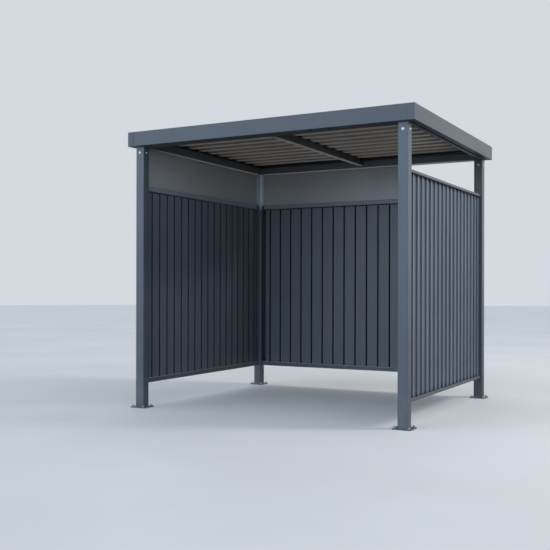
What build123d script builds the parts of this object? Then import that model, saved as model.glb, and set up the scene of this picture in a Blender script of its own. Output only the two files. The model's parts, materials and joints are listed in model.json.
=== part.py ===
"""Bike shelter in powder coated steel: four posts on base plates carry a flat roof with a
deep folded fascia. Three walls of ribbed sheet hang between the posts, the front is open.

Millimetres. X runs along the front from left to right, Y from front to back, Z up.
The origin is on the ground, at the middle of the shelter.
"""

import os

from build123d import *

# Plan size over the outer faces of the posts
frame_width = 2145
frame_depth = 1860

# Posts: square tube
post_size = 70
post_wall = 3
post_corner = 6

# Base plates and their anchor holes
plate_size = 126
plate_thickness = 8
plate_corner = 6
anchor_spacing = 96
anchor_hole = 12

# Roof frame: tubes between the posts, slimmer over the open right wall and in the middle
beam_underside = 1951
beam_height = 62
beam_width = post_size
right_beam_width = 27
middle_beam_width = 45
middle_beam_height = 42
beam_wall = 3
beam_corner = 5

# Roof bearers: narrow folded channels on the beams, which hold the sheet clear of them
bearer_width = 20
bearer_height = 16
bearer_thickness = 1.5

# Roof sheet
roof_pan_count = 13
roof_rib_top = 54
roof_rib_slope = 16
roof_rib_height = 20
roof_sheet_thickness = 1
roof_sheet_side_gap = 8
roof_sheet_front_gap = 10.5

# Fascia: a folded channel around the roof
fascia_above_underside = 6
fascia_lip = 15
fascia_thickness = 1.5
fascia_overhang_side = 53
fascia_overhang_front = 30
fascia_top_flange = 32
fascia_bottom_flange_side = 39
fascia_bottom_flange_front = 26
fascia_bend = 2
fascia_corner_leg = 46
fascia_seam = 0.4
fascia_open_seam = 3.5

# Walls: rails, ribbed sheet and plain upper sheet, placed from the outer faces of the posts
wall_frame_depth = 40
closed_wall_inset = 2
board_line = 41.5
rail_height = 37
rail_wall = 2
rail_corner = 4
rail_lip = 18
trim_height = 20
wall_top = 1667
gap_under_closed_walls = 177
gap_under_right_wall = 163

# Ribbed wall sheet: narrow ribs stand outwards, wide boards face inwards
cladding_thickness = 1
cladding_depth = 13
cladding_rib_top = 10
cladding_rib_slope = 2
cladding_pitch_left = 98
cladding_pitch_back = 107
cladding_pitch_right = 93.2
cladding_shift_back = -8
cladding_end_recess = 37
cladding_end_depth = 32
cladding_least_board = 25
cladding_top_gap = 8

# Plain upper sheets: folded trays with their open side outwards
infill_thickness = 1.5
infill_face = 16.5
infill_width_back = 1390

# Clearance between pieces that sit side by side
fit_gap = 0.3

# Worked out from the values above
half_width = frame_width / 2
half_depth = frame_depth / 2
beam_top = beam_underside + beam_height
roof_seat = beam_top + bearer_height
pan_top = roof_seat + roof_sheet_thickness
rib_crest = pan_top + roof_rib_height
fascia_bottom = beam_underside + fascia_above_underside
fascia_top = rib_crest + fascia_lip
fascia_height = fascia_top - fascia_bottom
side_bay = frame_depth - 2 * post_size
back_bay = frame_width - 2 * post_size
open_wall_line = post_size / 2
closed_wall_line = closed_wall_inset + wall_frame_depth / 2
infill_flange = infill_face - closed_wall_inset

os.makedirs("parts", exist_ok=True)


def save(solid, name):
    """Label one piece and write it to its own file."""
    solid.label = name
    export_step(solid, "parts/" + name + ".step")


def tube_upright(size, wall, corner, bottom, top, x, y):
    """A square tube standing at x, y."""
    with BuildPart() as tube:
        with BuildSketch(Plane.XY.offset(bottom)):
            with Locations((x, y)):
                RectangleRounded(size, size, corner)
                RectangleRounded(size - 2 * wall, size - 2 * wall, corner - wall, mode=Mode.SUBTRACT)
        extrude(amount=top - bottom)
    return tube.part


def tube_lying(plane, width, height, wall, corner, length):
    """A rectangular tube with its middle line through the plane's origin, along its normal."""
    with BuildPart() as tube:
        with BuildSketch(plane):
            RectangleRounded(width, height, corner)
            RectangleRounded(width - 2 * wall, height - 2 * wall, corner - wall, mode=Mode.SUBTRACT)
        extrude(amount=length / 2, both=True)
    return tube.part


def across(x, y, z):
    """Plane with its normal along the front: the section's width lies along Y, its height along Z."""
    return Plane(origin=(x, y, z), x_dir=(0, 1, 0), z_dir=(1, 0, 0))


def lengthwise(x, y, z):
    """Plane with its normal from front to back: width along X, height along Z."""
    return Plane(origin=(x, y, z), x_dir=(1, 0, 0), z_dir=(0, -1, 0))


# Posts and base plates, one set at each corner
corners = {
    "front_left": (-1, -1),
    "front_right": (1, -1),
    "back_left": (-1, 1),
    "back_right": (1, 1),
}

for corner_name, (side, end) in corners.items():
    post_x = side * (half_width - post_size / 2)
    post_y = end * (half_depth - post_size / 2)

    with BuildPart() as base_plate:
        with BuildSketch():
            with Locations((post_x, post_y)):
                RectangleRounded(plate_size, plate_size, plate_corner)
                with GridLocations(anchor_spacing, anchor_spacing, 2, 2):
                    Circle(anchor_hole / 2, mode=Mode.SUBTRACT)
        extrude(amount=plate_thickness)
    save(base_plate.part, "base_plate_" + corner_name)

    post = tube_upright(post_size, post_wall, post_corner, plate_thickness, beam_top, post_x, post_y)
    save(post, "post_" + corner_name)

# Roof frame: each beam lies between two posts, the middle one between the front and back beams
beam_middle = beam_underside + beam_height / 2
left_beam_plane = lengthwise(-half_width + beam_width / 2, 0, beam_middle)
save(tube_lying(left_beam_plane, beam_width, beam_height, beam_wall, beam_corner, side_bay), "beam_left")

right_beam_plane = lengthwise(half_width - right_beam_width / 2, 0, beam_middle)
save(tube_lying(right_beam_plane, right_beam_width, beam_height, beam_wall, beam_corner, side_bay), "beam_right")

front_beam_plane = across(0, -half_depth + beam_width / 2, beam_middle)
save(tube_lying(front_beam_plane, beam_width, beam_height, beam_wall, beam_corner, back_bay), "beam_front")

back_beam_plane = across(0, half_depth - beam_width / 2, beam_middle)
save(tube_lying(back_beam_plane, beam_width, beam_height, beam_wall, beam_corner, back_bay), "beam_back")

middle_beam_plane = lengthwise(0, 0, beam_top - middle_beam_height / 2)
middle_beam_length = frame_depth - 2 * beam_width
middle_beam = tube_lying(
    middle_beam_plane, middle_beam_width, middle_beam_height, beam_wall, beam_corner, middle_beam_length
)
save(middle_beam, "beam_middle")


def roof_bearer(plane, length):
    """A folded channel with its open side down, standing on the beam under the plane's origin."""
    half = bearer_width / 2
    with BuildPart() as bearer:
        with BuildSketch(plane):
            with BuildLine():
                Polyline((-half, 0), (-half, bearer_height), (half, bearer_height), (half, 0))
                offset(amount=bearer_thickness, side=Side.RIGHT, kind=Kind.INTERSECTION)
            make_face()
        extrude(amount=length / 2, both=True)
    return bearer.part


# The front and back bearers run over the posts, the other three lie between them
end_line = half_depth - beam_width / 2
bearer_length = 2 * (end_line - bearer_width / 2 - fit_gap)
save(roof_bearer(across(0, -end_line, beam_top), frame_width), "roof_bearer_front")
save(roof_bearer(across(0, end_line, beam_top), frame_width), "roof_bearer_back")
save(roof_bearer(lengthwise(-half_width + beam_width / 2, 0, beam_top), bearer_length), "roof_bearer_left")
save(roof_bearer(lengthwise(half_width - right_beam_width / 2, 0, beam_top), bearer_length), "roof_bearer_right")
save(roof_bearer(lengthwise(0, 0, beam_top), bearer_length), "roof_bearer_middle")

# Roof sheet: ribs along the front, the first and last pan lie over the front and back beams
roof_width = frame_width + 2 * (fascia_overhang_side - fascia_thickness - roof_sheet_side_gap)
roof_depth = frame_depth + 2 * (fascia_overhang_front - fascia_thickness - roof_sheet_front_gap)
roof_pitch = (roof_depth + roof_rib_top) / roof_pan_count

with BuildPart() as roof_sheet:
    with BuildSketch(across(0, -roof_depth / 2, roof_seat)):
        with BuildLine():
            roof_points = []
            for pan in range(roof_pan_count):
                pan_start = pan * roof_pitch
                pan_end = pan_start + roof_pitch - roof_rib_top
                roof_points.append((pan_start, roof_rib_height))
                roof_points.append((pan_start + roof_rib_slope, 0))
                roof_points.append((pan_end - roof_rib_slope, 0))
                roof_points.append((pan_end, roof_rib_height))
            Polyline(*roof_points)
            offset(amount=roof_sheet_thickness, side=Side.LEFT, kind=Kind.INTERSECTION)
        make_face()
    extrude(amount=roof_width / 2, both=True)
save(roof_sheet.part, "roof_sheet")

# Fascia: the corner pieces sit between the four straight lengths
outer_x = half_width + fascia_overhang_side
outer_y = half_depth + fascia_overhang_front
straight_front = 2 * (outer_x - fascia_corner_leg) - fascia_seam - fascia_open_seam
straight_back = 2 * (outer_x - fascia_corner_leg - fascia_seam)
straight_side = 2 * (outer_y - fascia_corner_leg - fascia_seam)


def fascia_length(plane, length, bottom_flange, lip_bottom):
    """A folded channel: bottom flange, tall face, top flange and a lip that stands on the roof sheet."""
    with BuildPart() as channel:
        with BuildSketch(plane):
            with BuildLine():
                FilletPolyline(
                    (bottom_flange, fascia_bottom),
                    (0, fascia_bottom),
                    (0, fascia_top),
                    (fascia_top_flange, fascia_top),
                    (fascia_top_flange, lip_bottom),
                    radius=fascia_bend + fascia_thickness,
                )
                offset(amount=fascia_thickness, side=Side.RIGHT, kind=Kind.INTERSECTION)
            make_face()
        extrude(amount=length / 2, both=True)
    return channel.part


# The front length stops short of the left corner piece, which leaves an open seam there
front_shift = (fascia_open_seam - fascia_seam) / 2
front_plane = Plane(origin=(front_shift, -outer_y, 0), x_dir=(0, 1, 0), z_dir=(1, 0, 0))
back_plane = Plane(origin=(0, outer_y, 0), x_dir=(0, -1, 0), z_dir=(-1, 0, 0))
left_plane = Plane(origin=(-outer_x, 0, 0), x_dir=(1, 0, 0), z_dir=(0, -1, 0))
right_plane = Plane(origin=(outer_x, 0, 0), x_dir=(-1, 0, 0), z_dir=(0, 1, 0))

save(fascia_length(front_plane, straight_front, fascia_bottom_flange_front, pan_top), "fascia_front")
save(fascia_length(back_plane, straight_back, fascia_bottom_flange_front, pan_top), "fascia_back")
save(fascia_length(left_plane, straight_side, fascia_bottom_flange_side, rib_crest), "fascia_left")
save(fascia_length(right_plane, straight_side, fascia_bottom_flange_side, rib_crest), "fascia_right")


def corner_layer(x, y, side, end, from_side, from_front):
    """Plan of one folded layer of a corner piece: a square less its inner corner."""
    leg = fascia_corner_leg
    with Locations((x - side * leg / 2, y - end * leg / 2)):
        Rectangle(leg, leg)
    inner_x = leg - from_side
    inner_y = leg - from_front
    with Locations((x - side * (leg - inner_x / 2), y - end * (leg - inner_y / 2))):
        Rectangle(inner_x, inner_y, mode=Mode.SUBTRACT)


def corner_lip(x, y, side, end):
    """Plan of the lip of a corner piece, which stands in the last pan of the roof sheet."""
    reach = fascia_corner_leg - fascia_top_flange + fascia_thickness
    with Locations((x - side * reach / 2, y - end * reach / 2)):
        Rectangle(reach, reach)
    inner = reach - fascia_thickness
    with Locations((x - side * (reach - inner / 2), y - end * (reach - inner / 2))):
        Rectangle(inner, inner, mode=Mode.SUBTRACT)


for corner_name, (side, end) in corners.items():
    corner_x = side * outer_x
    corner_y = end * outer_y
    with BuildPart() as corner_piece:
        with BuildSketch(Plane.XY.offset(fascia_bottom)):
            corner_layer(corner_x, corner_y, side, end, fascia_thickness, fascia_thickness)
        extrude(amount=fascia_height)
        with BuildSketch(Plane.XY.offset(fascia_bottom)):
            corner_layer(corner_x, corner_y, side, end, fascia_bottom_flange_side, fascia_bottom_flange_front)
        extrude(amount=fascia_thickness)
        with BuildSketch(Plane.XY.offset(fascia_top - fascia_thickness)):
            corner_layer(corner_x, corner_y, side, end, fascia_top_flange, fascia_top_flange)
        extrude(amount=fascia_thickness)
        with BuildSketch(Plane.XY.offset(pan_top)):
            lip_x = corner_x - side * (fascia_top_flange - fascia_thickness)
            lip_y = corner_y - end * (fascia_top_flange - fascia_thickness)
            corner_lip(lip_x, lip_y, side, end)
        extrude(amount=fascia_top - pan_top)
        outer_edges = corner_piece.edges().filter_by_position(Axis.X, corner_x, corner_x).filter_by(Axis.Y)
        outer_edges += corner_piece.edges().filter_by_position(Axis.Y, corner_y, corner_y).filter_by(Axis.X)
        fillet(outer_edges, radius=fascia_bend + fascia_thickness)
    save(corner_piece.part, "fascia_corner_" + corner_name)


def wall_cladding(plane, length, bottom, top, pitch, end_depth, shift=0):
    """Ribbed sheet on its rail: set back outwards at both ends, between them as many ribs as the pitch allows."""
    rib_half = cladding_rib_top / 2
    board_start = cladding_end_recess + cladding_rib_slope
    inner_length = length - 2 * (board_start + cladding_least_board + rib_half + cladding_rib_slope)
    ribs = int(inner_length / pitch) + 1
    first_rib = (length - (ribs - 1) * pitch) / 2 + shift
    rise = cladding_depth - cladding_thickness
    end_rise = end_depth - cladding_thickness
    outline = [(0, end_rise), (cladding_end_recess, end_rise), (board_start, 0)]
    for rib in range(ribs):
        middle = first_rib + rib * pitch
        outline.append((middle - rib_half - cladding_rib_slope, 0))
        outline.append((middle - rib_half, rise))
        outline.append((middle + rib_half, rise))
        outline.append((middle + rib_half + cladding_rib_slope, 0))
    outline += [(length - board_start, 0), (length - cladding_end_recess, end_rise), (length, end_rise)]
    with BuildPart() as sheet:
        with BuildSketch(plane.offset(bottom)):
            with BuildLine():
                Polyline(*outline)
                offset(amount=cladding_thickness, side=Side.LEFT, kind=Kind.INTERSECTION)
            make_face()
        extrude(amount=top - bottom)
    return sheet.part


def lipped_rail(plane, length, lip_side):
    """A rail with a lip under its outer face, behind the open joint above the ribbed sheet."""
    lip_top = -rail_height / 2 + rail_corner
    with BuildPart() as rail:
        with BuildSketch(plane):
            RectangleRounded(wall_frame_depth, rail_height, rail_corner)
            with Locations((lip_side * (wall_frame_depth - rail_wall) / 2, lip_top)):
                Rectangle(rail_wall, rail_lip + rail_corner, align=(Align.CENTER, Align.MAX))
            inner_depth = wall_frame_depth - 2 * rail_wall
            inner_height = rail_height - 2 * rail_wall
            RectangleRounded(inner_depth, inner_height, rail_corner - rail_wall, mode=Mode.SUBTRACT)
        extrude(amount=length / 2, both=True)
    return rail.part


def infill_tray(plane, width, height):
    """Plain sheet with a flange on all four edges, folded outwards."""
    with BuildPart() as tray:
        with BuildSketch(plane):
            Rectangle(width, height, align=(Align.MIN, Align.MIN))
        extrude(amount=infill_flange)
        with BuildSketch(plane.offset(infill_thickness)):
            with Locations((infill_thickness, infill_thickness)):
                Rectangle(width - 2 * infill_thickness, height - 2 * infill_thickness, align=(Align.MIN, Align.MIN))
        extrude(amount=infill_flange, mode=Mode.SUBTRACT)
    return tray.part


# Height of the upper sheets, between the middle rails and the beams
infill_bottom = wall_top
infill_height = beam_underside - wall_top - fit_gap
closed_rail_top = gap_under_closed_walls + rail_height
middle_rail_bottom = wall_top - rail_height
closed_sheet_top = middle_rail_bottom - cladding_top_gap
rail_length_side = side_bay - 2 * fit_gap
rail_length_back = back_bay - 2 * fit_gap
cladding_length_side = side_bay - 2 * fit_gap
cladding_length_back = back_bay - 2 * fit_gap

# Left wall
left_line = -half_width + closed_wall_line
left_bottom_plane = lengthwise(left_line, 0, gap_under_closed_walls + rail_height / 2)
left_bottom_rail = tube_lying(
    left_bottom_plane, wall_frame_depth, rail_height, rail_wall, rail_corner, rail_length_side
)
save(left_bottom_rail, "left_bottom_rail")
left_middle_plane = lengthwise(left_line, 0, middle_rail_bottom + rail_height / 2)
save(lipped_rail(left_middle_plane, rail_length_side, -1), "left_middle_rail")

left_sheet_plane = Plane(
    origin=(-half_width + board_line, -cladding_length_side / 2, 0), x_dir=(0, 1, 0), z_dir=(0, 0, 1)
)
left_cladding = wall_cladding(
    left_sheet_plane,
    cladding_length_side,
    closed_rail_top,
    closed_sheet_top,
    cladding_pitch_left,
    cladding_end_depth,
)
save(left_cladding, "left_cladding")

left_infill_plane = Plane(
    origin=(-half_width + infill_face, rail_length_side / 2, infill_bottom), x_dir=(0, -1, 0), z_dir=(-1, 0, 0)
)
save(infill_tray(left_infill_plane, rail_length_side, infill_height), "left_upper_sheet")

# Back wall
back_line = half_depth - closed_wall_line
back_bottom_plane = across(0, back_line, gap_under_closed_walls + rail_height / 2)
back_bottom_rail = tube_lying(
    back_bottom_plane, wall_frame_depth, rail_height, rail_wall, rail_corner, rail_length_back
)
save(back_bottom_rail, "back_bottom_rail")
back_middle_plane = across(0, back_line, middle_rail_bottom + rail_height / 2)
save(lipped_rail(back_middle_plane, rail_length_back, 1), "back_middle_rail")

back_sheet_plane = Plane(
    origin=(-cladding_length_back / 2, half_depth - board_line, 0), x_dir=(1, 0, 0), z_dir=(0, 0, 1)
)
back_cladding = wall_cladding(
    back_sheet_plane,
    cladding_length_back,
    closed_rail_top,
    closed_sheet_top,
    cladding_pitch_back,
    cladding_end_depth,
    cladding_shift_back,
)
save(back_cladding, "back_cladding")

infill_right_edge = infill_width_back - rail_length_back / 2
back_infill_plane = Plane(
    origin=(infill_right_edge, half_depth - infill_face, infill_bottom), x_dir=(-1, 0, 0), z_dir=(0, 1, 0)
)
save(infill_tray(back_infill_plane, infill_width_back, infill_height), "back_upper_sheet")

# Right wall: open above its thin top rail
right_line = half_width - open_wall_line
right_sheet_bottom = gap_under_right_wall + trim_height
right_sheet_top = wall_top - trim_height
for rail_name, rail_bottom in (("right_bottom_rail", gap_under_right_wall), ("right_top_rail", right_sheet_top)):
    rail_plane = lengthwise(right_line, 0, rail_bottom + trim_height / 2)
    save(tube_lying(rail_plane, wall_frame_depth, trim_height, rail_wall, rail_corner, rail_length_side), rail_name)

right_sheet_plane = Plane(
    origin=(half_width - board_line, cladding_length_side / 2, 0), x_dir=(0, -1, 0), z_dir=(0, 0, 1)
)
right_cladding = wall_cladding(
    right_sheet_plane,
    cladding_length_side,
    right_sheet_bottom,
    right_sheet_top,
    cladding_pitch_right,
    cladding_depth,
)
save(right_cladding, "right_cladding")
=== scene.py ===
"""Looks, small parts, lights and camera for the bike shelter.

Metres, Z up, open front towards -Y.
"""

import json
import math
import random

import bmesh
import bpy
from mathutils import Matrix, Vector


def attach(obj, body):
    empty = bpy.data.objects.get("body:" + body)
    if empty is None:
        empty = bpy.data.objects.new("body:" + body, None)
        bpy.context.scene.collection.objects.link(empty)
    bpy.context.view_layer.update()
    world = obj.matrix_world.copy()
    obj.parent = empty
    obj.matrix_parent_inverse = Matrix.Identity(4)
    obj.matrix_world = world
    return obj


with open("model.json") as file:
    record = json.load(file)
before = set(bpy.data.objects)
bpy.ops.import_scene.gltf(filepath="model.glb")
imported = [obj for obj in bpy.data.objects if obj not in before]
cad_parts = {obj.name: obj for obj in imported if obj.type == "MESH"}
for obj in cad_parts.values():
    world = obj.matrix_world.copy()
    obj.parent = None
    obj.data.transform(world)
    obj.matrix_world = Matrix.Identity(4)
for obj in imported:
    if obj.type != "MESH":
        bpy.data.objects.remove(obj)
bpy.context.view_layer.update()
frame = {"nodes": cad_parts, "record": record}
nodes = frame["nodes"]
random.seed(11)

# Places on the shelter, from the CAD model

CORNERS = {
    "front_left": (-1, -1),
    "front_right": (1, -1),
    "back_left": (-1, 1),
    "back_right": (1, 1),
}

# The way each wall looks out; only the closed ones have a middle rail and an upper sheet
WALLS = {"left": ("X", -1), "right": ("X", 1), "back": ("Y", 1)}
CLOSED_WALLS = ("left", "back")

POST_HALF = 0.035
POST_CORNER = 0.006
POST_X = 1.0375
POST_Y = 0.895
PLATE_TOP = 0.008
BOLT_HEIGHT = 1.911
ANCHOR_REACH = 0.048
PAN_TOP = 2.030
PAN_PITCH = 0.150
LAST_PAN = 6
BEARER_LINES = (-1.0375, 0.0, 1.059)
END_PAN_LINES = (-0.70, -0.35, 0.35, 0.70)

# Heights between which the inner side of a piece takes another colour: painted light on the head of
# the back left post above the walls, painted shade at the foot of the back posts, a painted shadow
# under the middle rails and a painted highlight along the top of the bottom rails
ABOVE_WALLS = (1.62, 1.70)
POST_FOOT = (0.20, 0.14)
UNDER_MIDDLE_RAIL = (1.6350, 1.6315)
ON_BOTTOM_RAIL = (0.2095, 0.2120)

# Materials


class Nodes:
    """Short hand for building one material's node tree."""

    def __init__(self, name):
        self.mat = bpy.data.materials.new(name)
        self.mat.use_nodes = True
        self.tree = self.mat.node_tree
        self.tree.nodes.clear()
        self.out = self.add("ShaderNodeOutputMaterial")
        self.shader = self.add("ShaderNodeBsdfPrincipled")
        self.link(self.shader.outputs[0], self.out.inputs[0])
        self.coords = self.add("ShaderNodeTexCoord").outputs["Object"]

    def add(self, kind, **values):
        node = self.tree.nodes.new(kind)
        for key, value in values.items():
            setattr(node, key, value)
        return node

    def link(self, a, b):
        self.tree.links.new(a, b)

    def value(self, socket, v):
        """Links a socket or sets a number."""
        if isinstance(v, bpy.types.NodeSocket):
            self.link(v, socket)
        else:
            socket.default_value = v

    def scaled(self, sx, sy, sz):
        """Object coordinates stretched by three factors."""
        m = self.add("ShaderNodeMapping")
        self.link(self.coords, m.inputs["Vector"])
        m.inputs["Scale"].default_value = (sx, sy, sz)
        return m.outputs[0]

    def noise(self, scale, detail, rough, vector=None, distortion=0.0):
        n = self.add("ShaderNodeTexNoise")
        self.link(vector or self.coords, n.inputs["Vector"])
        n.inputs["Scale"].default_value = scale
        n.inputs["Detail"].default_value = detail
        n.inputs["Roughness"].default_value = rough
        n.inputs["Distortion"].default_value = distortion
        return n.outputs["Fac"]

    def span(self, v, a, b, lo=0.0, hi=1.0):
        """Maps a..b of v to lo..hi, clamped."""
        n = self.add("ShaderNodeMapRange")
        self.link(v, n.inputs["Value"])
        n.inputs["From Min"].default_value = a
        n.inputs["From Max"].default_value = b
        n.inputs["To Min"].default_value = lo
        n.inputs["To Max"].default_value = hi
        return n.outputs[0]

    def math(self, op, a, b=0.0):
        n = self.add("ShaderNodeMath", operation=op)
        self.value(n.inputs[0], a)
        self.value(n.inputs[1], b)
        return n.outputs[0]

    def product(self, a, b):
        return self.math("MULTIPLY", a, b)

    def mix(self, fac, a, b):
        n = self.add("ShaderNodeMix", data_type="RGBA")
        self.link(fac, n.inputs["Factor"])
        for socket, colour in ((n.inputs["A"], a), (n.inputs["B"], b)):
            if isinstance(colour, bpy.types.NodeSocket):
                self.link(colour, socket)
            else:
                socket.default_value = (*colour, 1.0)
        return n.outputs["Result"]

    def component(self, vector, axis):
        s = self.add("ShaderNodeSeparateXYZ")
        self.link(vector, s.inputs[0])
        return s.outputs[axis]

    def normal_part(self, axis):
        """One component of the surface normal, in the scene's axes."""
        return self.component(self.add("ShaderNodeNewGeometry").outputs["Normal"], axis)

    def height(self):
        return self.component(self.coords, "Z")

    def edges(self, radius):
        """1 near sharp outer edges, 0 on flat faces."""
        b = self.add("ShaderNodeBevel", samples=4)
        b.inputs["Radius"].default_value = radius
        g = self.add("ShaderNodeNewGeometry")
        d = self.add("ShaderNodeVectorMath", operation="DOT_PRODUCT")
        self.link(b.outputs[0], d.inputs[0])
        self.link(g.outputs["Normal"], d.inputs[1])
        return self.span(d.outputs["Value"], 0.985, 0.86)

    def open_air(self, reach):
        """1 on open faces, towards 0 deep in narrow grooves; it sets where the painted shade in
        hollows falls.
        """
        n = self.add("ShaderNodeAmbientOcclusion", samples=8)
        n.inputs["Distance"].default_value = reach
        return n.outputs["AO"]

    def bump(self, height, distance, strength, below=None):
        b = self.add("ShaderNodeBump")
        b.inputs["Distance"].default_value = distance
        b.inputs["Strength"].default_value = strength
        self.link(height, b.inputs["Height"])
        if below is not None:
            self.link(below, b.inputs["Normal"])
        return b.outputs[0]

    def done(self, colour, roughness, normal, **fixed):
        self.value(self.shader.inputs["Base Color"], colour)
        self.value(self.shader.inputs["Roughness"], roughness)
        self.link(normal, self.shader.inputs["Normal"])
        for key, v in fixed.items():
            self.shader.inputs[key].default_value = v
        return self.mat


def srgb(r, g, b):
    """Linear colour of an 8-bit screen colour."""

    def one(c):
        c /= 255
        return c / 12.92 if c <= 0.04045 else ((c + 0.055) / 1.055) ** 2.4

    return one(r), one(g), one(b)


def tint(colour, factor):
    """The colour made darker or lighter, at most 1 in each part."""
    return tuple(min(1.0, c * factor) for c in colour)


COAT = (0.036, 0.044, 0.054)
OUTER_BOARD = (0.078, 0.093, 0.119)
# Painted shade: the inner face of the cladding, darker than its outer face.
BOARD_INSIDE_PAINTED_SHADE = tint(COAT, 1.25)
# Painted light: the inner faces of the middle rails, paler than the coat.
RAIL_INSIDE_PAINTED_LIGHT = {"left": tint(COAT, 2.6), "back": tint(COAT, 2.2)}
# Painted light: the inner face of the upper sheets, pale and warm.
SHEET_INSIDE_PAINTED_LIGHT = (0.212, 0.206, 0.198)
# Painted light on the inner and front faces of the back left post's head, above the walls.
POST_HEAD_PAINTED_LIGHT = (0.37, 0.42, 0.48)
# Painted shade: the underside of the roof sheet, darker than its top.
ROOF_UNDERSIDE_PAINTED_SHADE = (0.0215, 0.0235, 0.0262)
DUST = srgb(150, 146, 138)
DEEP_SHADE = (0.002, 0.002, 0.002)

# Sizes of a coat's marks: worn edges, the dusty foot of posts and walls, and how far the painted
# shade in grooves reaches
WORN_EDGE = 0.0022
SPLASH_HEIGHT = 0.32
GROOVE_REACH = 0.03

STREAK_SCALE = 14
PLAIN_SPECULAR = 0.5

# Roughness, scale of the grain and depth of the grain of each finish
TUBE_FINISH = (0.42, 900, 0.00022)
SHADED_FINISH = (0.46, 900, 0.00022)
PLATE_FINISH = (0.36, 800, 0.00018)
FASCIA_FINISH = (0.42, 900, 0.00018)
ROOF_FINISH = (0.32, 1000, 0.00016)
BOARD_FINISH = (0.45, 1100, 0.00014)
SHEET_FINISH = (0.36, 1000, 0.00016)

# Share of open air around a point, for the painted shade in hollows: a groove is darkest up to the
# first value, and the shade is gone at the second
HOLLOW_LIGHT = {"left": (0.72, 0.98), "right": (0.45, 0.85), "back": (0.60, 0.95)}
RAIL_HOLLOW_LIGHT = (0.75, 0.99)


def coat(
    name,
    colour,
    finish,
    streak=(1.0, 1.0, 0.15),
    dust=0.35,
    clouds=0.07,
    grooves=0.0,
    hollow_light=None,
    back=None,
    back_grooves=0.0,
    back_slopes=0.0,
    facing=("Z", 1),
    also_facing=None,
    back_bands=(),
):
    """Powder coat: fine pebbled skin, cloudy tone, dust on what faces up and near the ground.

    A sheet or tube may have another colour, back, on its other side; where back differs from the
    face colour it is painted light or painted shade. facing tells where its face side looks, and
    also_facing is one more direction that counts as the face side.

    These need a back: grooves and back_grooves paint shade into the hollows of the face side and of
    the back, as far as hollow_light says. back_slopes paints shade on what leans on the back.
    back_bands are pairs of heights with a colour of painted light or painted shade, which the back
    takes from the first height to the second.
    """
    rough, grain_scale, grain_depth = finish
    n = Nodes(name)
    cloud = n.noise(1.7, 4, 0.55)
    patch = n.noise(1.0, 3, 0.6, n.scaled(*(STREAK_SCALE * s for s in streak)), 0.3)
    tone = n.math("ADD", n.product(cloud, 0.6), n.product(patch, 0.4))
    light = n.span(tone, 0.35, 0.65)
    base = n.mix(light, tint(colour, 1 - clouds), tint(colour, 1 + clouds))

    # The back and its height bands carry painted light and painted shade.
    if back:
        axis, sign = facing
        face_side = n.span(n.normal_part(axis), -0.3 * sign, 0.3 * sign)
        if also_facing:
            axis_too, sign_too = also_facing
            looks_out = n.span(n.normal_part(axis_too), 0.3 * sign_too, 0.7 * sign_too)
            face_side = n.math("MAXIMUM", face_side, looks_out)
        other = n.mix(light, tint(back, 1 - clouds), tint(back, 1 + clouds))
        for (start, end), band in back_bands:
            other = n.mix(n.span(n.height(), start, end), other, band)
        base = n.mix(face_side, other, base)

    speck = n.span(n.noise(420, 2, 0.6), 0.62, 0.72)
    base = n.mix(n.product(speck, 0.10), base, tint(colour, 1.6))

    up = n.span(n.normal_part("Z"), 0.5, 0.95)
    low = n.span(n.height(), SPLASH_HEIGHT, 0.0)
    settled = n.math("MAXIMUM", up, n.product(low, 0.55))
    grime = n.product(settled, n.span(n.noise(11, 7, 0.62), 0.30, 0.74))
    grime = n.product(grime, dust)
    base = n.mix(grime, base, DUST)

    worn = n.product(n.edges(WORN_EDGE), n.span(n.noise(60, 4, 0.6), 0.45, 0.75))
    base = n.mix(n.product(worn, 0.35), base, tint(colour, 1.9))

    # Painted shade: hollows darkened where little open air reaches them, and the leaning faces of
    # the back darkened; both lose their shine.
    shade = None
    if grooves:
        hollow = n.span(n.open_air(GROOVE_REACH), *hollow_light, 1.0, 0.0)
        shade = n.product(hollow, n.span(face_side, 0.0, 1.0, back_grooves, grooves))
    elif back_slopes:
        lean = n.span(n.math("ABSOLUTE", n.normal_part(axis)), 0.70, 0.95, back_slopes, 0.0)
        shade = n.product(lean, n.math("SUBTRACT", 1.0, face_side))
    if shade is not None:
        base = n.mix(shade, base, DEEP_SHADE)
        shine = n.span(shade, 0.0, 1.0, PLAIN_SPECULAR, 0.0)
        n.link(shine, n.shader.inputs["Specular IOR Level"])

    rough_value = n.span(tone, 0.3, 0.7, rough - 0.05, rough + 0.06)
    rough_value = n.math("ADD", rough_value, n.product(grime, 0.35))
    wave = n.bump(n.noise(7, 2, 0.4), 0.0015, 0.12)
    grain = n.bump(n.noise(grain_scale, 3, 0.55), grain_depth, 0.5, wave)
    return n.done(base, rough_value, grain)


frame_coat = coat("frame_coat_paint", COAT, TUBE_FINISH)
# Painted shade: a darker copy of the frame coat, for the front and middle beams that stand in shade
# under the roof.
shaded_coat = coat("shaded_coat_paint", tint(COAT, 0.36), SHADED_FINISH)

PAINTS = {
    "plate_coat": coat("plate_coat_paint", tint(COAT, 0.96), PLATE_FINISH, dust=0.18),
    "frame_coat": frame_coat,
    # Painted shade on the roof's underside: darker than the top, and darker still on the slopes.
    "roof_coat": coat(
        "roof_coat_paint",
        COAT,
        ROOF_FINISH,
        streak=(0.02, 0.2, 0.2),
        dust=0.22,
        clouds=0.04,
        back=ROOF_UNDERSIDE_PAINTED_SHADE,
        back_slopes=0.62,
    ),
    "fascia_coat": coat(
        "fascia_coat_paint", tint(COAT, 0.74), FASCIA_FINISH, streak=(0.12, 0.12, 1.0)
    ),
}

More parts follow.
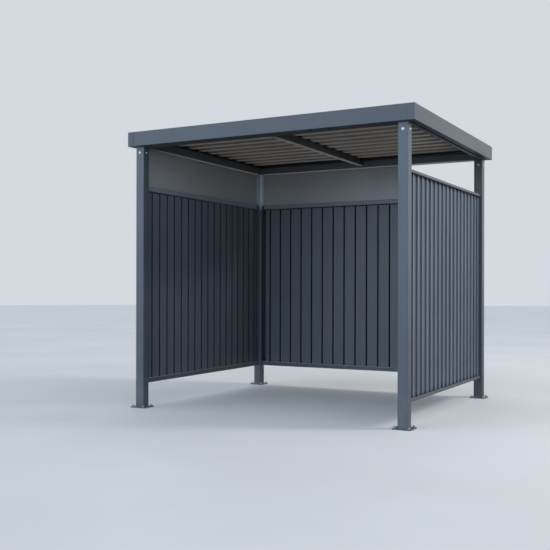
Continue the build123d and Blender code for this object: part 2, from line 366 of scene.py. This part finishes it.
# Paints of single pieces, which the photo shows paler or darker than the rest, mostly inside
# Most of these are painted light and painted shade: copies of a coat made lighter or darker, on one
# side or in bands, for how light falls on each piece.
OWN_PAINTS = {
    "beam_front": shaded_coat,
    "beam_middle": shaded_coat,
    # Painted light: the front right post is a lighter copy of the frame coat.
    "post_front_right": coat("near_post_painted_light", tint(COAT, 1.13), TUBE_FINISH),
    # Painted shade on the left beam's inner face, which faces into the shelter.
    "beam_left": coat(
        "left_beam_painted_shade", COAT, TUBE_FINISH, back=tint(COAT, 0.7), facing=("X", -1)
    ),
    # Painted shade, nearly black, on the right beam's outer face under the fascia.
    "beam_right": coat(
        "slim_beam_painted_shade", COAT, TUBE_FINISH, back=tint(COAT, 0.2), facing=("X", -1)
    ),
    # Painted light on the inner and front faces of the head above the walls, and painted shade at
    # the foot.
    "post_back_left": coat(
        "inner_post_painted_light_and_shade",
        COAT,
        TUBE_FINISH,
        dust=0.12,
        back=COAT,
        facing=("X", -1),
        also_facing=("Y", 1),
        back_bands=((ABOVE_WALLS, POST_HEAD_PAINTED_LIGHT), (POST_FOOT, tint(COAT, 0.3))),
    ),
    # Painted shade on the front face, darker still at the foot.
    "post_back_right": coat(
        "far_post_painted_shade",
        COAT,
        TUBE_FINISH,
        dust=0.12,
        back=tint(COAT, 0.72),
        facing=("Y", 1),
        back_bands=((POST_FOOT, tint(COAT, 0.2)),),
    ),
}

# Painted shade: each cladding's inner face is darker than its outer face, and its grooves are
# darkened on both faces where little open air reaches them.
for wall, facing in WALLS.items():
    OWN_PAINTS[wall + "_cladding"] = coat(
        wall + "_cladding_paint",
        OUTER_BOARD,
        BOARD_FINISH,
        streak=(1.0, 1.0, 0.08),
        clouds=0.12,
        grooves=0.6,
        hollow_light=HOLLOW_LIGHT[wall],
        back=BOARD_INSIDE_PAINTED_SHADE,
        back_grooves=0.97,
        facing=facing,
    )
for wall in CLOSED_WALLS:
    # Painted light on the middle rail's inner face, painted shade in the hollow behind its lip, and
    # a painted shadow along its lower edge.
    OWN_PAINTS[wall + "_middle_rail"] = coat(
        wall + "_rail_paint",
        COAT,
        TUBE_FINISH,
        grooves=0.6,
        hollow_light=RAIL_HOLLOW_LIGHT,
        back=RAIL_INSIDE_PAINTED_LIGHT[wall],
        back_grooves=0.99,
        facing=WALLS[wall],
        back_bands=((UNDER_MIDDLE_RAIL, tint(COAT, 0.12)),),
    )
    # A painted highlight along the top edge of the bottom rail's inner face.
    OWN_PAINTS[wall + "_bottom_rail"] = coat(
        wall + "_low_rail_paint",
        COAT,
        TUBE_FINISH,
        back=COAT,
        facing=WALLS[wall],
        back_bands=((ON_BOTTOM_RAIL, tint(COAT, 5.0)),),
    )
    # Painted light: the upper sheet's inner face is pale and warm.
    OWN_PAINTS[wall + "_upper_sheet"] = coat(
        wall + "_sheet_paint",
        COAT,
        SHEET_FINISH,
        streak=(0.3, 0.3, 1.0),
        back=SHEET_INSIDE_PAINTED_LIGHT,
        facing=WALLS[wall],
    )

for part in frame["record"]["subparts"]:
    piece = nodes[part["node"]]
    paint = OWN_PAINTS.get(part["node"]) or PAINTS[part["material_slot"]]
    if not piece.material_slots:
        piece.data.materials.append(paint)
    for slot in piece.material_slots:
        slot.material = paint


def steel_material(name, dark, light, least_rough):
    """Bare steel with fine turned marks and dull patches."""
    n = Nodes(name)
    cloud = n.noise(240, 3, 0.6)
    base = n.mix(n.span(cloud, 0.35, 0.68), dark, light)
    rough = n.span(cloud, 0.3, 0.7, least_rough, least_rough + 0.16)
    marks = n.noise(1.0, 2, 0.5, n.scaled(900, 900, 5200))
    return n.done(base, rough, n.bump(marks, 0.00008, 0.4), Metallic=1.0)


steel = steel_material("bolt_steel_metal", (0.50, 0.50, 0.49), (0.72, 0.71, 0.68), 0.20)
dull_steel = steel_material("anchor_steel_metal", (0.24, 0.25, 0.27), (0.36, 0.37, 0.39), 0.38)

# Small parts

# Inner radius, outer radius and thickness of each washer
BOLT_WASHER = (0.0045, 0.0085, 0.0014)
ANCHOR_WASHER = (0.0053, 0.0100, 0.0016)
SCREW_WASHER = (0.0030, 0.0080, 0.0015)

# Width across the flats, underside and top of each nut or head
ANCHOR_NUT = (0.0155, 0.0016, 0.0080)
SCREW_HEAD = (0.0080, 0.0015, 0.0065)
TURNED_CORNER = 0.0012

STUD_FOOT = -0.0070
STUD_RADIUS = 0.0050
STUD_TIP = [(0.0046, 0.0126), (0.0036, 0.0132), (0.0, 0.0132)]
THREAD_ROOT = 0.0044
THREAD_PITCH = 0.0015
THREAD_TURNS = 3

WELD_LEG = 0.0042
WELD_INTO_POST = 0.0006
WELD_INTO_PLATE = 0.0004
STRAIGHT_STEPS = 40
CORNER_STEPS = 6

SHARP_ANGLE = math.radians(32)
FOLD_ANGLE = math.radians(40)
FOLD_WIDTH = 0.0005
MERGE_DISTANCE = 0.00001


def small_part(name, bm, paint):
    """Turns a bmesh into a piece that rides on the shelter."""
    bmesh.ops.recalc_face_normals(bm, faces=bm.faces)
    mesh = bpy.data.meshes.new(name)
    bm.to_mesh(mesh)
    bm.free()
    mesh.materials.append(paint)
    obj = bpy.data.objects.new(name, mesh)
    bpy.context.scene.collection.objects.link(obj)
    for face in mesh.polygons:
        face.use_smooth = True
    mesh.set_sharp_from_angle(angle=SHARP_ANGLE)
    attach(obj, "root")


def lathe(bm, profile, place, sides=24):
    """Turns a profile of (radius, height) pairs about the Z axis of a placing matrix."""
    rings = []
    for radius, height in profile:
        if radius == 0:
            rings.append([bm.verts.new(place @ Vector((0, 0, height)))])
            continue
        ring = []
        for i in range(sides):
            a = math.tau * i / sides
            spot = Vector((radius * math.cos(a), radius * math.sin(a), height))
            ring.append(bm.verts.new(place @ spot))
        rings.append(ring)
    for low, high in zip(rings, rings[1:]):
        count = max(len(low), len(high))
        for i in range(count):
            j = (i + 1) % count
            if len(low) == 1:
                bm.faces.new((low[0], high[i], high[j]))
            elif len(high) == 1:
                bm.faces.new((low[i], low[j], high[0]))
            else:
                bm.faces.new((low[i], low[j], high[j], high[i]))
    for end in (rings[0], rings[-1]):
        if len(end) > 2:
            bm.faces.new(end)


def hexagon(bm, size, place):
    """A hexagonal head or nut with its upper corners turned off."""
    across_flats, low, high = size
    corner = across_flats / math.sqrt(3)
    profile = [(corner, low), (corner, high - TURNED_CORNER), (across_flats / 2 * 0.94, high)]
    lathe(bm, profile, place @ Matrix.Rotation(random.uniform(0, math.tau), 4, "Z"), 6)


def washer(bm, size, place):
    """A flat ring with its upper outer edge taken off."""
    inner, outer, high = size
    edge = high * 0.25
    under = [(inner, 0.0), (outer, 0.0)]
    above = [(outer, high - edge), (outer - edge, high), (inner, high)]
    lathe(bm, under + above, place)


def dome_bolt(bm, place):
    """Washer and domed head with a socket in it."""
    washer(bm, BOLT_WASHER, place)
    rim = [(0.0068, 0.0014), (0.0068, 0.0020)]
    dome = [(0.0064, 0.0032), (0.0055, 0.0042), (0.0042, 0.0048), (0.0027, 0.0051)]
    socket = [(0.0024, 0.0047), (0.0024, 0.0028), (0.0, 0.0025)]
    lathe(bm, rim + dome + socket, place)


def post_bolts(corner_name, side, end):
    """One bolt on each face of a post, just under the fascia."""
    bm = bmesh.new()
    centre = Vector((side * POST_X, end * POST_Y, BOLT_HEIGHT))
    for dx, dy in ((1, 0), (-1, 0), (0, 1), (0, -1)):
        out = Vector((dx, dy, 0))
        turn = out.to_track_quat("Z", "Y").to_matrix().to_4x4()
        dome_bolt(bm, Matrix.Translation(centre + out * POST_HALF) @ turn)
    small_part("post_bolts_" + corner_name, bm, steel)


def anchor_stud(bm, place):
    """Threaded end of a ground anchor, with a chamfer at its top."""
    stud = [(0.0, STUD_FOOT), (STUD_RADIUS, STUD_FOOT)]
    for turn in range(THREAD_TURNS):
        height = ANCHOR_NUT[2] + turn * THREAD_PITCH
        stud += [(STUD_RADIUS, height), (THREAD_ROOT, height + THREAD_PITCH / 2)]
    lathe(bm, stud + STUD_TIP, place, 16)


def anchors(corner_name, side, end):
    """Stud, nut and washer in each hole of a base plate."""
    bm = bmesh.new()
    for dx in (-ANCHOR_REACH, ANCHOR_REACH):
        for dy in (-ANCHOR_REACH, ANCHOR_REACH):
            spot = Vector((side * POST_X + dx, end * POST_Y + dy, PLATE_TOP))
            place = Matrix.Translation(spot)
            washer(bm, ANCHOR_WASHER, place)
            hexagon(bm, ANCHOR_NUT, place)
            anchor_stud(bm, place)
    small_part("anchor_bolts_" + corner_name, bm, dull_steel)


def post_outline():
    """Points round a post's section, each with the direction that looks away from the post."""
    straight = POST_HALF - POST_CORNER
    path = []
    for quarter in range(4):
        middle = math.tau * quarter / 4
        out = Vector((math.cos(middle), math.sin(middle), 0))
        along = Vector((-math.sin(middle), math.cos(middle), 0))
        for step in range(STRAIGHT_STEPS):
            t = (step / STRAIGHT_STEPS - 0.5) * 2 * straight
            path.append((out * POST_HALF + along * t, out))
        diagonal = middle + math.tau / 8
        hub = Vector((math.cos(diagonal), math.sin(diagonal), 0)) * straight * math.sqrt(2)
        for step in range(CORNER_STEPS):
            a = middle + (step + 0.5) / CORNER_STEPS * math.tau / 4
            out = Vector((math.cos(a), math.sin(a), 0))
            path.append((hub + out * POST_CORNER, out))
    return path


def weld_bead(corner_name, side, end):
    """Rippled fillet weld round the foot of a post."""
    bm = bmesh.new()
    base = Vector((side * POST_X, end * POST_Y, PLATE_TOP))
    rings = []
    for i, (spot, out) in enumerate(post_outline()):
        leg = WELD_LEG * (1 + 0.10 * math.sin(i * 2.1) + random.uniform(-0.05, 0.05))
        section = [
            (-WELD_INTO_POST, -WELD_INTO_PLATE),
            (leg, -WELD_INTO_PLATE),
            (leg * 0.72, leg * 0.50),
            (leg * 0.34, leg * 0.80),
            (-WELD_INTO_POST, leg),
        ]
        rings.append([bm.verts.new(base + spot + out * o + Vector((0, 0, z))) for o, z in section])
    for one, other in zip(rings, rings[1:] + rings[:1]):
        for k in range(len(one)):
            m = (k + 1) % len(one)
            bm.faces.new((one[k], one[m], other[m], other[k]))
    small_part("weld_" + corner_name, bm, frame_coat)


def roof_screws():
    """Screws in the pans of the roof sheet, over the bearers."""
    bm = bmesh.new()
    for pan in range(-LAST_PAN, LAST_PAN + 1):
        lines = BEARER_LINES
        if abs(pan) == LAST_PAN:
            lines = BEARER_LINES + END_PAN_LINES
        for x in lines:
            place = Matrix.Translation((x, pan * PAN_PITCH, PAN_TOP))
            washer(bm, SCREW_WASHER, place)
            hexagon(bm, SCREW_HEAD, place)
    small_part("roof_screws", bm, steel)


for corner_name, (side, end) in CORNERS.items():
    post_bolts(corner_name, side, end)
    anchors(corner_name, side, end)
    weld_bead(corner_name, side, end)
roof_screws()


def soften(piece):
    """Rounds the folded edges of a CAD piece for its highlights; the mesh itself stays as it is."""
    weld = piece.modifiers.new("weld", "WELD")
    weld.merge_threshold = MERGE_DISTANCE
    bevel = piece.modifiers.new("edges", "BEVEL")
    bevel.width = FOLD_WIDTH
    bevel.segments = 2
    bevel.limit_method = "ANGLE"
    bevel.angle_limit = FOLD_ANGLE
    bevel.harden_normals = True


for name, piece in nodes.items():
    if name.startswith(("fascia_corner", "base_plate")):
        soften(piece)

# Floor, lights and camera

FLOOR_RADIUS = 40.0
FLOOR_ROUGHNESS = 0.75
FLOOR_TONES = ((0.53, 0.52, 0.50), (0.57, 0.56, 0.54))
FLOOR_AS_LIGHT = (0.29, 0.285, 0.275)
BACKDROP = (0.66, 0.70, 0.74)
SKY_BEHIND = (0.88, 0.94, 1.0)
SKY_IN_FRONT = (0.70, 0.86, 1.06)


def floor_material():
    """Pale to the eye, half as bright as a source of soft light and in reflections."""
    n = Nodes("pale_floor")
    tone = n.noise(0.7, 4, 0.5)
    seen = n.mix(n.span(tone, 0.35, 0.65), *FLOOR_TONES)
    path = n.add("ShaderNodeLightPath")
    base = n.mix(path.outputs["Is Camera Ray"], FLOOR_AS_LIGHT, seen)
    return n.done(base, FLOOR_ROUGHNESS, n.bump(n.noise(160, 3, 0.5), 0.0006, 0.3))


def floor():
    bm = bmesh.new()
    bmesh.ops.create_circle(bm, cap_ends=True, segments=96, radius=FLOOR_RADIUS)
    mesh = bpy.data.meshes.new("floor")
    bm.to_mesh(mesh)
    bm.free()
    obj = bpy.data.objects.new("floor", mesh)
    bpy.context.scene.collection.objects.link(obj)
    mesh.materials.append(floor_material())


def area_light(name, place, target, sides, power, colour, spread=180):
    data = bpy.data.lights.new(name, "AREA")
    data.shape = "RECTANGLE"
    data.size, data.size_y = sides
    data.energy = power
    data.color = colour
    data.spread = math.radians(spread)
    light = bpy.data.objects.new(name, data)
    light.location = place
    aim = Vector(target) - Vector(place)
    light.rotation_mode = "QUATERNION"
    light.rotation_quaternion = aim.to_track_quat("-Z", "Y")
    light.visible_camera = False
    bpy.context.scene.collection.objects.link(light)


def studio():
    """Soft surround, brightest low down in front; the camera itself sees a plain pale backdrop."""
    world = bpy.data.worlds.new("studio")
    world.use_nodes = True
    tree = world.node_tree
    tree.nodes.clear()

    def add(kind, **values):
        node = tree.nodes.new("ShaderNode" + kind)
        for key, value in values.items():
            setattr(node, key, value)
        return node

    def ramp(source, low, high, at_low, at_high):
        node = add("MapRange")
        node.inputs["From Min"].default_value = low
        node.inputs["From Max"].default_value = high
        node.inputs["To Min"].default_value = at_low
        node.inputs["To Max"].default_value = at_high
        tree.links.new(source, node.inputs["Value"])
        return node.outputs[0]

    out = add("OutputWorld")
    both = add("MixShader")
    path = add("LightPath")
    way = add("TexCoord")
    parts = add("SeparateXYZ")
    tree.links.new(way.outputs["Generated"], parts.inputs[0])

    rise = ramp(parts.outputs["Z"], 0.05, 0.75, at_low=2.2, at_high=0.8)
    front = ramp(parts.outputs["Y"], 0.25, -0.75, at_low=0.62, at_high=1.80)
    strength = add("Math", operation="MULTIPLY")
    tree.links.new(rise, strength.inputs[0])
    tree.links.new(front, strength.inputs[1])

    hue = add("Mix", data_type="RGBA")
    towards_front = ramp(parts.outputs["Y"], 0.25, -0.75, at_low=0.0, at_high=1.0)
    tree.links.new(towards_front, hue.inputs["Factor"])
    hue.inputs["A"].default_value = (*SKY_BEHIND, 1.0)
    hue.inputs["B"].default_value = (*SKY_IN_FRONT, 1.0)

    soft = add("Background")
    tree.links.new(hue.outputs["Result"], soft.inputs["Color"])
    tree.links.new(strength.outputs[0], soft.inputs["Strength"])
    backdrop = add("Background")
    backdrop.inputs["Color"].default_value = (*BACKDROP, 1.0)
    tree.links.new(path.outputs["Is Camera Ray"], both.inputs[0])
    tree.links.new(soft.outputs[0], both.inputs[1])
    tree.links.new(backdrop.outputs[0], both.inputs[2])
    tree.links.new(both.outputs[0], out.inputs[0])
    bpy.context.scene.world = world


floor()
area_light(
    "key",
    place=(8.5, 2.8, 6.0),
    target=(0.3, 0, 1.0),
    sides=(2.2, 2.2),
    power=520,
    colour=(1.0, 0.955, 0.935),
)
area_light(
    "bounce",
    place=(-0.11, 0.12, 0.02),
    target=(-0.11, 0.12, 2.0),
    sides=(1.98, 1.7),
    power=38,
    colour=(1.0, 0.88, 0.75),
    spread=16,
)
studio()
bpy.context.scene.view_settings.view_transform = "Standard"

# The camera stands in front of the shelter, to its right, 0.9 m above the ground, and looks level.
# The picture is 550 pixels square, and the horizon lies a little under its middle.
IMAGE_SIDE = 550
FOCAL_PIXELS = 854.0
HORIZON_ROW = 288.41
SENSOR_WIDTH = 36.0
CAMERA_PLACE = (2.902, -6.081, 0.895)
CAMERA_YAW = 28.40
CAMERA_ROLL = 0.115


def photo_camera():
    data = bpy.data.cameras.new("camera")
    data.sensor_width = SENSOR_WIDTH
    data.lens = FOCAL_PIXELS / IMAGE_SIDE * SENSOR_WIDTH
    data.shift_y = (HORIZON_ROW - IMAGE_SIDE / 2) / IMAGE_SIDE
    camera = bpy.data.objects.new("camera", data)
    yaw = Matrix.Rotation(math.radians(CAMERA_YAW), 4, "Z")
    level = Matrix.Rotation(math.radians(90.0), 4, "X")
    roll = Matrix.Rotation(math.radians(CAMERA_ROLL), 4, "Z")
    camera.matrix_world = Matrix.Translation(CAMERA_PLACE) @ yaw @ level @ roll
    bpy.context.scene.collection.objects.link(camera)
    return camera


bpy.context.scene.camera = photo_camera()
